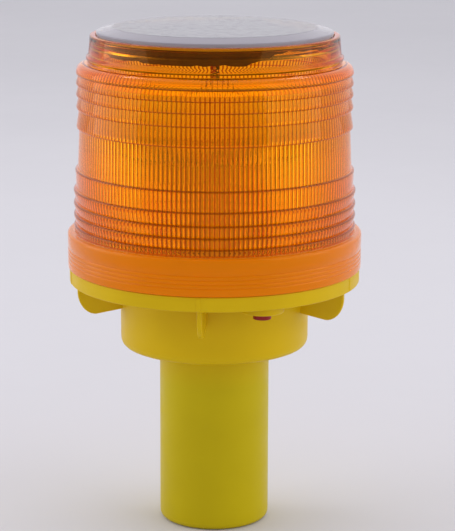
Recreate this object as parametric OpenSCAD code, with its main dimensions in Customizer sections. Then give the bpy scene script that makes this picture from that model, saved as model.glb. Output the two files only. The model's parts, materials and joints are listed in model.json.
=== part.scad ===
// Solar warning light for the top of a traffic cone or barrier.
// A hollow stalk drops into the cone. Above it are a round housing, a flange with five
// grip wings, and an amber drum lens that screws on, closed by a clear cover.
// Units are millimetres, +Z is up and the origin is the centre of the stalk's lower end.
// The front of the light faces -Y.

/* [Stalk] */
// Outer radius of the stalk
stalk_r = 19; // [18.5:0.1:20.5]
// Length of the stalk below the housing
stalk_len = 62.6; // [61:0.2:75]
// Wall of the stalk
stalk_wall = 2.2; // [2:0.1:2.4]
// Thickness of the stalk's closed end
stalk_floor = 2.6; // [2:0.1:5]
// Radius of the rounded lower edge of the stalk
stalk_edge_r = 2; // [0.5:0.1:2.5]

/* [Housing cup] */
// Outer radius of the round housing
cup_r = 32.5; // [32:0.1:33]
// Height of the round housing below the flange
cup_h = 22.9; // [22:0.1:26]
// Wall of the housing
cup_wall = 2.2; // [2:0.1:2.4]
// Thickness of the housing floor
cup_floor = 2.4; // [2:0.1:3]
// Radius of the rounded lower edge of the housing
cup_edge_r = 3; // [1:0.1:4]

/* [Flange] */
// Outer radius of the flange
flange_r = 49.9; // [49.9:0.1:50.2]
// Height of the flange's rim
flange_h = 5; // [4.5:0.1:6]
// Thickness of the flange plate
flange_plate = 2.4; // [2:0.1:2.8]
// Thickness of the flange's rim
flange_rim = 2; // [1.6:0.1:2.2]
// Outer radius of the collar that carries the screw thread
collar_r = 46.6; // [46.4:0.1:46.7]
// Height of the collar above the flange
collar_h = 9.2; // [9:0.1:9.4]
// Wall of the collar
collar_wall = 2.2; // [2:0.1:2.4]

/* [Grip wings] */
// Number of grip wings
wing_count = 5; // [3:1:5]
// Direction of the first wing
wing_phase = -96; // [-98:1:-94]
// Thickness of each wing
wing_t = 1.6; // [1.2:0.1:2.2]
// Radius of the wings' outer edge
wing_r = 47.8; // [46:0.1:48]
// Depth of the wings below the flange rim
wing_drop = 10.6; // [8:0.1:12]

/* [Screw thread] */
// Pitch of the thread between the lens and the collar
thread_pitch = 2.6; // [2.5:0.05:2.7]
// Turns of thread on the collar and on the lens
thread_turns = 2.25; // [1.5:0.25:2.25]

/* [Lens] */
// Outer radius of the lens skirt
skirt_r = 50.4; // [50.4:0.1:51]
// Wall of the lens skirt
skirt_wall = 2; // [1.8:0.1:2]
// Height of the lens skirt
skirt_h = 12.3; // [12.2:0.1:12.6]
// Outer radius of the drum at its foot
drum_foot_r = 48.2; // [47.8:0.1:48.4]
// Outer radius of the smooth band round the middle of the drum
drum_band_r = 46.7; // [46.5:0.1:46.9]
// Outer radius of the topmost ring of the drum
drum_top_r = 46.8; // [46.5:0.1:47]
// Inner radius of the drum
drum_in_r = 44.4; // [44:0.1:44.5]
// Height of the light's focal plane above the flange
focus_h = 41.3; // [41:0.1:42]
// Depth of the grooves between the lens rings
ring_depth = 0.9; // [0.5:0.1:1]
// Outer radius of the neck at its top
neck_r = 42.2; // [42:0.1:42.6]
// Height of the neck's top above the flange
neck_h = 79.5; // [79:0.1:81]

/* [Clear cover] */
// Outer radius of the clear cover
cover_r = 40.1; // [40:0.1:40.2]
// Radius of the cover's flat top
cover_flat_r = 34.4; // [30:0.2:36]
// Rise of the cover's flat top above its rim
cover_rise = 1.4; // [0.6:0.1:2]
// Thickness of the cover at its rim
cover_rim_t = 2.5; // [2:0.1:3]

/* [Solar panel] */
// Side of the square solar panel
panel_side = 50; // [40:1:51]
// Thickness of the panel's backing board
panel_t = 2; // [1.6:0.1:2.2]
// Direction of the panel's first corner
panel_corner = -114; // [-180:1:180]
// Number of cell strips across the panel
cell_strips = 5; // [3:1:8]

/* [Lamps] */
// Number of lamps round the lamp board
lamp_count = 6; // [4:1:8]
// Radius of each lamp's body
lamp_r = 2.5; // [1.5:0.1:2.5]
// Direction of the first lamp
lamp_phase = -110; // [-180:1:180]
// Radius of the lamp board
lamp_board_r = 17; // [16:0.5:20]

/* [Switch] */
// Direction of the switch boss under the flange
switch_angle = -67; // [-70:1:-64]
// Distance of the switch from the centre
switch_r = 40.2; // [40:0.1:40.3]
// Radius of the push button
button_r = 3; // [2.5:0.1:3]
// Travel of the push button
button_travel = 1.3; // [0.8:0.1:1.4]

/* [Hidden] */
$fn = 96;

// Small gap between pieces that are placed one in the other
gap = 0.1;
// Depth by which one shape reaches into another so that they join
bite = 0.4;

// Heights of the housing
cup_z = stalk_len;
cup_floor_z = cup_z + cup_floor;
rim_z = cup_z + cup_h;
flange_z = rim_z + flange_h;
plate_z = flange_z - flange_plate;
collar_z = flange_z + collar_h;
stalk_in_r = stalk_r - stalk_wall;
cup_in_r = cup_r - cup_wall;
collar_in_r = collar_r - collar_wall;

// Screw thread: the collar's lugs run in the space between the lens's lugs
lugs_per_turn = 8;
lug_arc = 36;
thread_root_w = 1.35;
thread_crest_w = 0.65;
thread_h = 1.45;
thread_z = flange_z + 1.6;

// Lens
skirt_in_r = skirt_r - skirt_wall;
skirt_z = flange_z + 0.2;
skirt_top_z = skirt_z + skirt_h;
gasket_t = 1.5;
gasket_w = 1.8;
ledge_z = collar_z + gasket_t + 0.05;
focus_z = flange_z + focus_h;
ring_steps = [6.8, 13.3, 17.6, 21.4, 25];
lower_stretch = 1.04;
ring_nose = 0.35;
shoulder_z = focus_z + ring_steps[len(ring_steps) - 1] + 2.6 * ring_nose;
neck_z = flange_z + neck_h;
neck_in_r = neck_r - 2;
bead_r = neck_r + 1.4;
bead_z = neck_z - 7.7;
ledge_in_r = 38.8;
ledge_t = 1.6;

// Cover and panel
adhesive_t = 0.5;
cover_z = neck_z - cover_rim_t + 1.2;
adhesive_z = cover_z - adhesive_t;
sealant_in_r = 36.6;
sealant_drop = 3.4;
cell_t = 0.4;
panel_top_z = cover_z - gap - cell_t;
panel_z = panel_top_z - panel_t;

// Battery holder
holder_top_z = cup_floor_z + 4;
holder_plate = 2;
cell_r = 7.15;
cell_len = 50;
cell_nub = 1.1;
cell_x = 7.6;
contact_t = 0.4;
battery_spring_h = 2.6;
holder_base_z = holder_top_z - cell_len - battery_spring_h - 2 * contact_t - holder_plate;
holder_ear_r = 22;

// Control board
board_t = 1.6;
control_z = cup_floor_z + 10;
control_r = 28.5;
control_boss_r = 25;

// Deck plate and lamp post
deck_z = flange_z + 6;
deck_t = 1.8;
deck_r = collar_in_r - 0.5;
deck_post_r = 38;
post_r = 8;
post_bore_r = 6;
post_foot_t = 3;
post_screw_r = 11;
post_screw_angles = [40, 160, 280];
lamp_flange_r = lamp_r + 0.4;
lamp_board_z = focus_z - lamp_flange_r - board_t;
post_z = deck_z + deck_t;

// Screws
screw_r = 1.3;
screw_len = 7;
screw_head_r = 2.5;
screw_head_h = 1.6;
small_screw_r = 1;
small_screw_len = 4.5;
small_head_r = 1.9;
small_head_h = 1.2;

// Switch
boss_r = 7.3;
boss_drop = 2.7;
boss_z = rim_z - boss_drop;
boss_floor = 1.8;
button_out = 2.4;
button_flange_r = button_r + 0.8;
button_flange_t = 0.7;
button_stem_r = 1.4;
switch_z = boss_z + boss_floor + button_flange_t + 1.6;
switch_side = 8;
switch_h = 6.6;
switch_bore_z = switch_z + 1.2;
spring_r = 1.8;
spring_wire_r = 0.22;
spring_z = switch_bore_z + 0.9;
spring_top_z = switch_z + switch_h - 1;

// Wires
wire_r = 0.6;
wire_sides = 8;

// ---- Functions ----

// Points of an arc from one angle to another, in steps
function arc(cx, cy, rx, ry, from, to, steps) =
    [for (i = [0 : steps]) let (a = from + (to - from) * i / steps)
        [cx + rx * cos(a), cy + ry * sin(a)]];

function unit(v) = v / norm(v);

// Smooth curve through a list of points, with a few points to each stretch
function curve_point(p0, p1, p2, p3, t) =
    0.5 * (2 * p1 + (p2 - p0) * t + (2 * p0 - 5 * p1 + 4 * p2 - p3) * t * t
        + (3 * p1 - p0 - 3 * p2 + p3) * t * t * t);
function smooth(p, steps) =
    let (n = len(p) - 1)
    [for (i = [0 : n - 1]) for (k = [0 : steps - 1])
        curve_point(p[max(i - 1, 0)], p[i], p[i + 1], p[min(i + 2, n)], k / steps),
     p[n]];

// Direction of a path at one of its points
function heading(path, i) =
    unit(path[min(i + 1, len(path) - 1)] - path[max(i - 1, 0)]);

// Points of a helix about the Z axis whose radius may change along it
function helix_path(r0, r1, z0, z1, turns, steps, phase = 0) =
    let (n = round(turns * steps))
    [for (i = [0 : n]) let (f = i / n, r = r0 + (r1 - r0) * f, a = phase + 360 * turns * f)
        [r * cos(a), r * sin(a), z0 + (z1 - z0) * f]];

// Triangles that join a row of equal rings and close both ends
function skin_faces(rings, sides) = concat(
    [for (i = [0 : rings - 2]) for (j = [0 : sides - 1])
        let (k = (j + 1) % sides) [i * sides + j, i * sides + k, (i + 1) * sides + j]],
    [for (i = [0 : rings - 2]) for (j = [0 : sides - 1])
        let (k = (j + 1) % sides) [i * sides + k, (i + 1) * sides + k, (i + 1) * sides + j]],
    [for (j = [1 : sides - 2]) [0, j + 1, j]],
    [for (j = [1 : sides - 2]) let (b = (rings - 1) * sides) [b, b + j, b + j + 1]]);

// ---- Shared shapes ----

// Round wire swept along a path
module wire(path, r, sides = wire_sides, side_on = [0.31, 0.9, 0.17]) {
    rings = [for (i = [0 : len(path) - 1])
        let (t = heading(path, i), u = unit(cross(side_on, t)), v = cross(t, u))
        for (j = [0 : sides - 1])
            let (a = 360 * j / sides) path[i] + r * (cos(a) * u + sin(a) * v)];
    polyhedron(rings, skin_faces(len(path), sides));
}

// Thread made of short level lugs that climb round the axis, from a root radius to a crest
module thread_lugs(root_r, crest_r, z0) {
    slope = (thread_root_w - thread_crest_w) / thread_h;
    foot_r = crest_r > root_r ? root_r - bite : root_r + bite;
    foot_w = thread_root_w + slope * bite;
    for (i = [0 : lugs_per_turn * thread_turns - 1])
        rotate(360 / lugs_per_turn * i)
            translate([0, 0, z0 + thread_pitch / lugs_per_turn * i])
                rotate_extrude(angle = lug_arc)
                    polygon([[foot_r, -foot_w / 2], [crest_r, -thread_crest_w / 2],
                        [crest_r, thread_crest_w / 2], [foot_r, foot_w / 2]]);
}

// Self-tapping screw with its head up, the head resting on z = 0
module pan_screw(r, length, head_r, head_h) {
    difference() {
        union() {
            translate([0, 0, -length])
                cylinder(r = r, h = length + bite);
            translate([0, 0, -length - r])
                cylinder(r1 = 0.2, r2 = r, h = r);
            rotate_extrude()
                polygon(concat([[0, 0], [head_r, 0]],
                    arc(0, head_h * 0.4, head_r, head_h * 0.6, 0, 90, 5)));
        }
        for (a = [0, 90])
            rotate(a)
                translate([-head_r * 0.6, -0.25, head_h * 0.45])
                    cube([head_r * 1.2, 0.5, head_h]);
    }
}

// Places its children at the switch's axis
module at_switch() {
    rotate(switch_angle)
        translate([switch_r, 0, 0])
            children();
}

// ---- Base ----

// Turned outline of the stalk, housing, flange and collar as one wall
module base_outline() {
    polygon(concat(
        [[0, 0]],
        arc(stalk_r - stalk_edge_r, stalk_edge_r, stalk_edge_r, stalk_edge_r, -90, 0, 6),
        [[stalk_r, cup_z]],
        arc(cup_r - cup_edge_r, cup_z + cup_edge_r, cup_edge_r, cup_edge_r, -90, 0, 6),
        [[cup_r, plate_z], [flange_r - flange_rim, plate_z], [flange_r - flange_rim, rim_z],
         [flange_r - 0.5, rim_z], [flange_r, rim_z + 0.5], [flange_r, flange_z],
         [collar_r, flange_z], [collar_r, collar_z], [collar_in_r, collar_z],
         [collar_in_r, flange_z], [cup_in_r, flange_z], [cup_in_r, cup_floor_z],
         [stalk_in_r, cup_floor_z], [stalk_in_r, stalk_floor], [0, stalk_floor]]));
}

// One grip wing with a rounded outer corner, and its strip on the flange's rim
module grip_wing() {
    low_z = rim_z - wing_drop;
    bend_r = wing_r - 6.3;
    translate([0, wing_t / 2, 0])
        rotate([90, 0, 0])
            linear_extrude(wing_t)
                polygon(concat(
                    [[cup_r - bite, plate_z + bite], [cup_r - bite, low_z + 1.5]],
                    arc(bend_r, low_z + 8, wing_r - bend_r, 8, -90, 0, 8),
                    [[wing_r, rim_z - 0.2], [wing_r + bite, rim_z + bite],
                     [wing_r + bite, plate_z + bite]]));
    translate([flange_r - bite, -wing_t / 2, rim_z + 0.1])
        cube([bite + 0.4, wing_t, flange_h - 0.3]);
}

// Round post with a blind hole for a self-tapping screw
module screw_post(r, z0, z1) {
    difference() {
        translate([0, 0, z0 - bite])
            cylinder(r = r, h = z1 - z0 + bite);
        translate([0, 0, max(z1 - screw_len - screw_r - 0.5, z0)])
            cylinder(r = screw_r + 0.05, h = screw_len + screw_r + 1);
    }
}

module base_housing() {
    color([0.79, 0.69, 0.09]) {
        difference() {
            union() {
                rotate_extrude()
                    base_outline();
                for (i = [0 : wing_count - 1])
                    rotate(wing_phase + 360 / wing_count * i)
                        grip_wing();
                at_switch()
                    translate([0, 0, boss_z])
                        cylinder(r = boss_r, h = plate_z - boss_z + bite);
                thread_lugs(collar_r, collar_r + thread_h, thread_z);
            }
            at_switch() {
                translate([0, 0, boss_z - 1])
                    cylinder(r = button_r + gap, h = 10);
                translate([0, 0, boss_z + boss_floor])
                    cylinder(r = button_flange_r + gap, h = 10);
                translate([0, 0, switch_z])
                    cylinder(r = switch_side / 2 * sqrt(2) + gap, h = 10);
            }
        }
        for (a = [0, 120, 240])
            rotate(a)
                translate([deck_post_r, 0, 0])
                    screw_post(3.5, flange_z, deck_z);
        for (a = [90, 210, 330])
            rotate(a)
                translate([control_boss_r, 0, 0])
                    screw_post(3.2, cup_floor_z, control_z);
        for (a = [0, 180])
            rotate(a)
                translate([holder_ear_r, 0, 0])
                    screw_post(3.2, cup_floor_z, holder_top_z);
    }
}

// ---- Battery ----

module battery_holder() {
    tab_slot = 5;
    color([0.1, 0.1, 0.11])
        difference() {
            union() {
                translate([0, 0, holder_base_z])
                    cylinder(r = stalk_in_r - 0.6, h = holder_plate);
                translate([0, 0, holder_top_z])
                    cylinder(r = stalk_in_r - 0.6, h = holder_plate);
                translate([-holder_ear_r - 3.5, -4, holder_top_z])
                    cube([2 * holder_ear_r + 7, 8, holder_plate]);
                for (y = [-11.5, 11.5])
                    translate([0, y, holder_base_z + bite])
                        cylinder(r = 2.5, h = holder_top_z - holder_base_z);
            }
            for (x = [-holder_ear_r, holder_ear_r])
                translate([x, 0, holder_top_z - 1])
                    cylinder(r = screw_r + 0.3, h = holder_plate + 2);
            for (x = [-cell_x, cell_x])
                translate([x - 1, tab_slot - 1, holder_top_z - 1])
                    cube([2, 2, holder_plate + 2]);
        }
}

// Rechargeable cell standing on z = 0 with its nub up
module cell() {
    body_len = cell_len - cell_nub;
    rotate_extrude()
        polygon(concat(
            [[0, 0], [cell_r - 0.6, 0]],
            arc(cell_r - 0.6, 0.6, 0.6, 0.6, -90, 0, 3),
            arc(cell_r - 0.8, body_len - 0.8, 0.8, 0.8, 0, 90, 3),
            [[2.75, body_len], [2.75, cell_len], [0, cell_len]]));
}

module battery_cell_up() {
    color([0.12, 0.5, 0.25])
        translate([cell_x, 0, holder_base_z + holder_plate + contact_t + battery_spring_h])
            cell();
}

module battery_cell_down() {
    color([0.12, 0.5, 0.25])
        translate([-cell_x, 0, holder_base_z + holder_plate + contact_t + cell_len])
            rotate([180, 0, 0])
                cell();
}

module battery_springs() {
    low_z = holder_base_z + holder_plate + contact_t;
    high_z = holder_top_z - contact_t;
    color([0.75, 0.75, 0.76]) {
        translate([cell_x, 0, 0])
            wire(helix_path(4.6, 2.2, low_z + 0.35, low_z + battery_spring_h - 0.35, 3, 16),
                0.3, 6, [0, 0, 1]);
        translate([-cell_x, 0, 0])
            wire(helix_path(4.6, 2.2, high_z - 0.35, high_z - battery_spring_h + 0.35, 3, 16),
                0.3, 6, [0, 0, 1]);
    }
}

module battery_plates() {
    plate_side = 10;
    color([0.75, 0.75, 0.76]) {
        translate([-cell_x - plate_side / 2, -plate_side / 2, holder_base_z + holder_plate])
            cube([2 * cell_x + plate_side, plate_side, contact_t]);
        for (x = [-cell_x, cell_x])
            translate([x, 0, holder_top_z - contact_t]) {
                translate([-plate_side / 2, -plate_side / 2, 0])
                    cube([plate_side, plate_side, contact_t]);
                translate([-0.8, 4.6, 0])
                    cube([1.6, 0.5, holder_plate + 1.4]);
            }
    }
}

// Lead from a battery tab up to the control board
module battery_lead(side) {
    wire(smooth([[side * cell_x, 5.9, holder_top_z + holder_plate + 0.8],
        [side * (cell_x + 0.4), 8, holder_top_z + holder_plate + 1],
        [side * (cell_x + 1.6), 11, holder_top_z + holder_plate + 1.4],
        [side * (cell_x + 2), 12.8, control_z - 1.9],
        [side * (cell_x + 2), 13.4, control_z - 1],
        [side * (cell_x + 2), 13.4, control_z - 0.12]], 3), wire_r, wire_sides, [1, 0.1, 0.1]);
}

module battery_lead_red() {
    color([0.75, 0.06, 0.05])
        battery_lead(1);
}

module battery_lead_black() {
    color([0.06, 0.06, 0.06])
        battery_lead(-1);
}

// ---- Control board ----

module control_board() {
    color([0.05, 0.33, 0.16])
        translate([0, 0, control_z])
            difference() {
                cylinder(r = control_r, h = board_t);
                for (a = [90, 210, 330])
                    rotate(a)
                        translate([control_boss_r, 0, -1])
                            cylinder(r = screw_r + 0.3, h = board_t + 2);
                for (a = [0, 180])
                    rotate(a)
                        translate([holder_ear_r, 0, -1])
                            cylinder(r = screw_head_r + 0.8, h = board_t + 2);
            }
}

module control_chip() {
    leg_pitch = 1.27;
    color([0.08, 0.08, 0.09])
        translate([-12, -6, control_z + board_t]) {
            translate([-2.5, -2, 0.15])
                cube([5, 4, 1.5]);
            for (side = [-1, 1])
                for (i = [-1.5 : 1.5])
                    translate([i * leg_pitch - 0.2, side * 2.5 - 0.7, 0])
                        cube([0.4, 1.4, 0.35]);
        }
}

module charge_capacitor() {
    color([0.12, 0.14, 0.3])
        translate([10, -12, control_z + board_t])
            rotate_extrude()
                polygon([[0, 0], [3.8, 0], [4, 0.2], [4, 0.8], [3.7, 1.1], [4, 1.4],
                    [4, 8.6], [3.6, 9], [0, 9]]);
}

module boost_inductor() {
    color([0.18, 0.16, 0.15])
        translate([12, 9, control_z + board_t])
            rotate_extrude()
                polygon([[0, 0], [4.5, 0], [4.5, 1.2], [3, 1.2], [3, 4.6], [4.5, 4.6],
                    [4.5, 5.8], [0, 5.8]]);
}

module board_resistors() {
    color([0.72, 0.6, 0.42])
        for (i = [0 : 3])
            translate([-13, 3 + i * 3.2, control_z + board_t + 1.1])
                rotate([0, 90, 0])
                    rotate_extrude()
                        polygon([[0, -4.5], [0.3, -4.5], [0.3, -3], [1.1, -2.8], [1.1, -1.8],
                            [0.9, -1.5], [0.9, 1.5], [1.1, 1.8], [1.1, 2.8], [0.3, 3],
                            [0.3, 4.5], [0, 4.5]]);
}

// The screws that hold the deck plate, the control board and the battery holder
module housing_screws() {
    color([0.62, 0.63, 0.65]) {
        for (a = [0, 120, 240])
            rotate(a)
                translate([deck_post_r, 0, deck_z + deck_t])
                    pan_screw(screw_r, screw_len - deck_t, screw_head_r, screw_head_h);
        for (a = [90, 210, 330])
            rotate(a)
                translate([control_boss_r, 0, control_z + board_t])
                    pan_screw(screw_r, screw_len, screw_head_r, screw_head_h);
        for (a = [0, 180])
            rotate(a)
                translate([holder_ear_r, 0, holder_top_z + holder_plate])
                    pan_screw(screw_r, 4, screw_head_r, screw_head_h);
    }
}

// ---- Switch ----

module switch_body() {
    color([0.13, 0.13, 0.14])
        at_switch()
            difference() {
                translate([-switch_side / 2, -switch_side / 2, switch_z])
                    cube([switch_side, switch_side, switch_h]);
                translate([0, 0, switch_z - 1])
                    cylinder(r = button_stem_r + 0.08, h = 4);
                translate([0, 0, switch_bore_z])
                    cylinder(r = spring_r + spring_wire_r + 0.5, h = spring_top_z - switch_bore_z);
            }
}

module switch_button() {
    low_z = boss_z - button_out;
    flange_low_z = boss_z + boss_floor + gap;
    stem_top_z = spring_z - gap;
    color([0.6, 0.05, 0.04])
        at_switch()
            rotate_extrude()
                polygon(concat(
                    [[0, low_z]],
                    arc(button_r - 0.6, low_z + 0.6, 0.6, 0.6, -90, 0, 4),
                    [[button_r, flange_low_z], [button_flange_r, flange_low_z],
                     [button_flange_r, flange_low_z + button_flange_t],
                     [button_stem_r, flange_low_z + button_flange_t],
                     [button_stem_r, stem_top_z - 0.6], [spring_r + 0.3, stem_top_z - 0.6],
                     [spring_r + 0.3, stem_top_z], [0, stem_top_z]]));
}

module switch_spring() {
    color([0.75, 0.75, 0.76])
        at_switch()
            wire(helix_path(spring_r, spring_r, spring_z + spring_wire_r,
                spring_top_z - spring_wire_r - 0.02, 3.5, 14), spring_wire_r, 6, [0, 0, 1]);
}

module switch_pins() {
    color([0.78, 0.7, 0.4])
        at_switch()
            for (y = [-2.2, 2.2])
                translate([-1, y - 0.3, switch_z + switch_h])
                    cube([2, 0.6, 2]);
}

// Lead from a switch pin over the housing's edge to the control board
module switch_lead(side) {
    top_z = switch_z + switch_h + 1;
    rotate(switch_angle)
        wire(smooth([[switch_r - 1.7, side * 2.2, top_z],
            [switch_r - 4, side * 2, top_z + 0.4],
            [switch_r - 9, side * 1.6, top_z - 0.4],
            [cup_in_r - 4, side * 1.2, top_z - 5],
            [cup_in_r - 7, side * 1.2, control_z + 8],
            [cup_in_r - 7.5, side * 1.2, control_z + board_t + 0.05]], 3),
            wire_r, wire_sides, [0.1, 1, 0.1]);
}

module switch_lead_red() {
    color([0.75, 0.06, 0.05])
        switch_lead(1);
}

module switch_lead_black() {
    color([0.06, 0.06, 0.06])
        switch_lead(-1);
}

// ---- Deck plate and lamps ----

module deck_plate() {
    color([0.92, 0.91, 0.88])
        difference() {
            union() {
                translate([0, 0, deck_z])
                    cylinder(r = deck_r, h = deck_t);
                rotate_extrude()
                    polygon([[deck_r - 1.4, deck_z - 1.2], [deck_r, deck_z - 1.2],
                        [deck_r, deck_z + bite], [deck_r - 1.4, deck_z + bite]]);
            }
            translate([0, 0, deck_z - 1])
                cylinder(r = post_bore_r, h = deck_t + 2);
            for (a = [0, 120, 240])
                rotate(a)
                    translate([deck_post_r, 0, deck_z - 2])
                        cylinder(r = screw_r + 0.3, h = deck_t + 4);
            for (a = post_screw_angles)
                rotate(a)
                    translate([post_screw_r, 0, deck_z - 1])
                        cylinder(r = small_screw_r + 0.2, h = deck_t + 2);
        }
}

// Hollow post that carries the lamp board at the lens's focal plane
module lamp_post() {
    top_t = 5;
    hole_r = small_screw_r + 0.05;
    color([0.93, 0.92, 0.9])
        difference() {
            union() {
                translate([0, 0, post_z])
                    cylinder(r = post_screw_r + 3, h = post_foot_t);
                translate([0, 0, post_z])
                    cylinder(r = post_r, h = lamp_board_z - post_z);
                translate([0, 0, lamp_board_z - top_t])
                    cylinder(r = post_screw_r + 2.4, h = top_t);
                for (a = [0, 120, 240])
                    rotate(a)
                        translate([0, -0.8, post_z + bite])
                            cube([post_screw_r, 1.6, lamp_board_z - post_z - 2 * bite]);
            }
            translate([0, 0, post_z - 1])
                cylinder(r = post_bore_r, h = lamp_board_z - post_z + 2);
            for (a = post_screw_angles)
                rotate(a)
                    translate([post_screw_r, 0, 0]) {
                        translate([0, 0, post_z - 1])
                            cylinder(r = hole_r, h = post_foot_t + 0.4);
                        translate([0, 0, lamp_board_z - top_t + 0.6])
                            cylinder(r = hole_r, h = top_t);
                    }
        }
}

// The small screws under the deck plate and on the lamp board
module post_screws() {
    color([0.62, 0.63, 0.65])
        for (a = post_screw_angles)
            rotate(a)
                translate([post_screw_r, 0, 0]) {
                    translate([0, 0, deck_z])
                        rotate([180, 0, 0])
                            pan_screw(small_screw_r, 2.6, small_head_r, small_head_h);
                    translate([0, 0, lamp_board_z + board_t])
                        pan_screw(small_screw_r, small_screw_len, small_head_r, small_head_h);
                }
}

module lamp_board() {
    color([0.93, 0.93, 0.9])
        translate([0, 0, lamp_board_z])
            difference() {
                cylinder(r = lamp_board_r, h = board_t);
                translate([0, 0, -1])
                    cylinder(r = post_bore_r, h = board_t + 2);
                for (a = post_screw_angles)
                    rotate(a)
                        translate([post_screw_r, 0, -1])
                            cylinder(r = small_screw_r + 0.2, h = board_t + 2);
            }
}

// Lamp with a round nose, lying along +X from the origin
module lamp() {
    rotate([0, 90, 0])
        rotate_extrude()
            polygon(concat(
                [[0, 0], [lamp_flange_r, 0], [lamp_flange_r, 1], [lamp_r, 1]],
                arc(0, 6.1, lamp_r, lamp_r, 0, 90, 8)));
}

module lamps() {
    color([0.98, 0.86, 0.6, 0.8])
        for (i = [0 : lamp_count - 1])
            rotate(lamp_phase + 360 / lamp_count * i)
                translate([lamp_board_r - 3, 0, focus_z])
                    lamp();
}

module lamp_pins() {
    pin = 0.5;
    color([0.78, 0.78, 0.78])
        for (i = [0 : lamp_count - 1])
            rotate(lamp_phase + 360 / lamp_count * i)
                for (y = [-1.27, 1.27])
                    translate([lamp_board_r - 4.6, y - pin / 2, 0]) {
                        translate([0, 0, focus_z - pin / 2])
                            cube([1.6, pin, pin]);
                        translate([0, 0, lamp_board_z + board_t])
                            cube([pin, pin, lamp_flange_r + pin / 2]);
                    }
}

// Lead from the control board up inside the post to the top of the lamp board
module lamp_lead(angle) {
    top_z = lamp_board_z + board_t;
    rotate(angle)
        wire(smooth([[7.5, 0, control_z + board_t + 0.05],
            [7.5, 0, control_z + 6],
            [5, 0, control_z + 14],
            [4.7, 0, post_z],
            [4.7, 0, (post_z + top_z) / 2],
            [4.7, 0, top_z + 0.5],
            [5.6, 0, top_z + 2],
            [7.4, 0, top_z + 1.6],
            [8, 0, top_z + 0.05]], 3), wire_r, wire_sides, [0, 1, 0]);
}

module lamp_lead_red() {
    color([0.75, 0.06, 0.05])
        lamp_lead(0);
}

module lamp_lead_black() {
    color([0.06, 0.06, 0.06])
        lamp_lead(120);
}

// ---- Lens head ----

module lens_gasket() {
    color([0.1, 0.09, 0.09])
        translate([0, 0, collar_z])
            difference() {
                cylinder(r = collar_r - 0.2, h = gasket_t);
                translate([0, 0, -1])
                    cylinder(r = collar_r - 0.2 - gasket_w, h = gasket_t + 2);
            }
}

// Radius of the lens rings' tips, which grow towards the foot of the drum
function ring_tip_r(z) =
    z > focus_z ? drum_top_r + 0.2
        : drum_band_r + (drum_foot_r - drum_band_r) * min(1, (focus_z - z) / 12);

// Outline of one lens ring: a blunt tip that faces the focal plane, then a slope in
function ring_outline(side, i) =
    let (stretch = side < 0 ? lower_stretch : 1,
        z = focus_z + side * ring_steps[i] * stretch,
        tip = ring_tip_r(z))
    [[tip - ring_depth, z], [tip - 0.15, z + side * ring_nose * 0.4],
     [tip, z + side * ring_nose * 1.2], [tip - 0.1, z + side * ring_nose * 2.6]];

// Outer edge of the lens from the skirt's foot to the neck's top
function lens_outer() = concat(
    [[skirt_r, skirt_z]],
    arc(skirt_r - 1.4, skirt_top_z - 1.4, 1.4, 1.4, 0, 90, 5),
    [[drum_foot_r, skirt_top_z]],
    [for (i = [len(ring_steps) - 1 : -1 : 0]) each
        let (r = ring_outline(-1, i)) [r[3], r[2], r[1], r[0]]],
    [[drum_band_r, focus_z - ring_steps[0] * lower_stretch + 0.5],
     [drum_band_r, focus_z + ring_steps[0] - 0.5]],
    [for (i = [0 : len(ring_steps) - 1]) each ring_outline(1, i)],
    arc(neck_r + 1, shoulder_z, drum_top_r - neck_r - 1, bead_z - 1.6 - shoulder_z, 12, 90, 6),
    arc(bead_r - 1, bead_z, 1, 1, -60, 60, 6),
    [[neck_r + 0.5, bead_z + 1.5], [neck_r, neck_z - 0.5], [neck_r - 0.5, neck_z]]);

// Inner edge of the lens from the neck's top down to the skirt's foot
function lens_inner() = concat(
    [[neck_in_r + 0.1, neck_z], [neck_in_r + 0.1, adhesive_z], [ledge_in_r, adhesive_z],
     [ledge_in_r, adhesive_z - ledge_t], [neck_in_r, adhesive_z - ledge_t - 1.2],
     [neck_in_r, neck_z - 10.5], [drum_in_r, neck_z - 15.5], [drum_in_r, ledge_z],
     [skirt_in_r, ledge_z], [skirt_in_r, skirt_z]]);

module amber_lens() {
    color([0.95, 0.5, 0.04, 0.75]) {
        rotate_extrude()
            polygon(concat(lens_outer(), lens_inner()));
        thread_lugs(skirt_in_r, skirt_in_r - thread_h, thread_z + thread_pitch / 2);
    }
}

// Sealant between the cover and the lens's ledge, with a bead down inside the ledge
module cover_adhesive() {
    sealant_r = ledge_in_r - gap;
    color([0.16, 0.1, 0.05])
        rotate_extrude()
            polygon([[sealant_in_r, adhesive_z - sealant_drop], [sealant_r, adhesive_z - sealant_drop],
                [sealant_r, adhesive_z], [cover_r, adhesive_z], [cover_r, cover_z],
                [sealant_in_r, cover_z]]);
}

module top_cover() {
    color([0.85, 0.87, 0.9, 0.5])
        rotate_extrude()
            polygon([[0, cover_z], [cover_r, cover_z], [cover_r, cover_z + cover_rim_t - 0.3],
                [cover_r - 0.3, cover_z + cover_rim_t],
                [cover_flat_r, cover_z + cover_rim_t + cover_rise],
                [0, cover_z + cover_rim_t + cover_rise]]);
}

// Places its children on the solar panel, square with its sides
module on_panel() {
    rotate(panel_corner + 45)
        children();
}

module solar_board() {
    color([0.07, 0.08, 0.12])
        on_panel()
            translate([-panel_side / 2, -panel_side / 2, panel_z])
                cube([panel_side, panel_side, panel_t]);
}

module solar_cells() {
    margin = 1.5;
    slit = 0.8;
    run = panel_side - 2 * margin;
    strip_w = (run - (cell_strips - 1) * slit) / cell_strips;
    color([0.06, 0.08, 0.2])
        on_panel()
            for (i = [0 : cell_strips - 1])
                translate([-run / 2, -run / 2 + i * (strip_w + slit), panel_top_z])
                    cube([run, strip_w, cell_t]);
}

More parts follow.
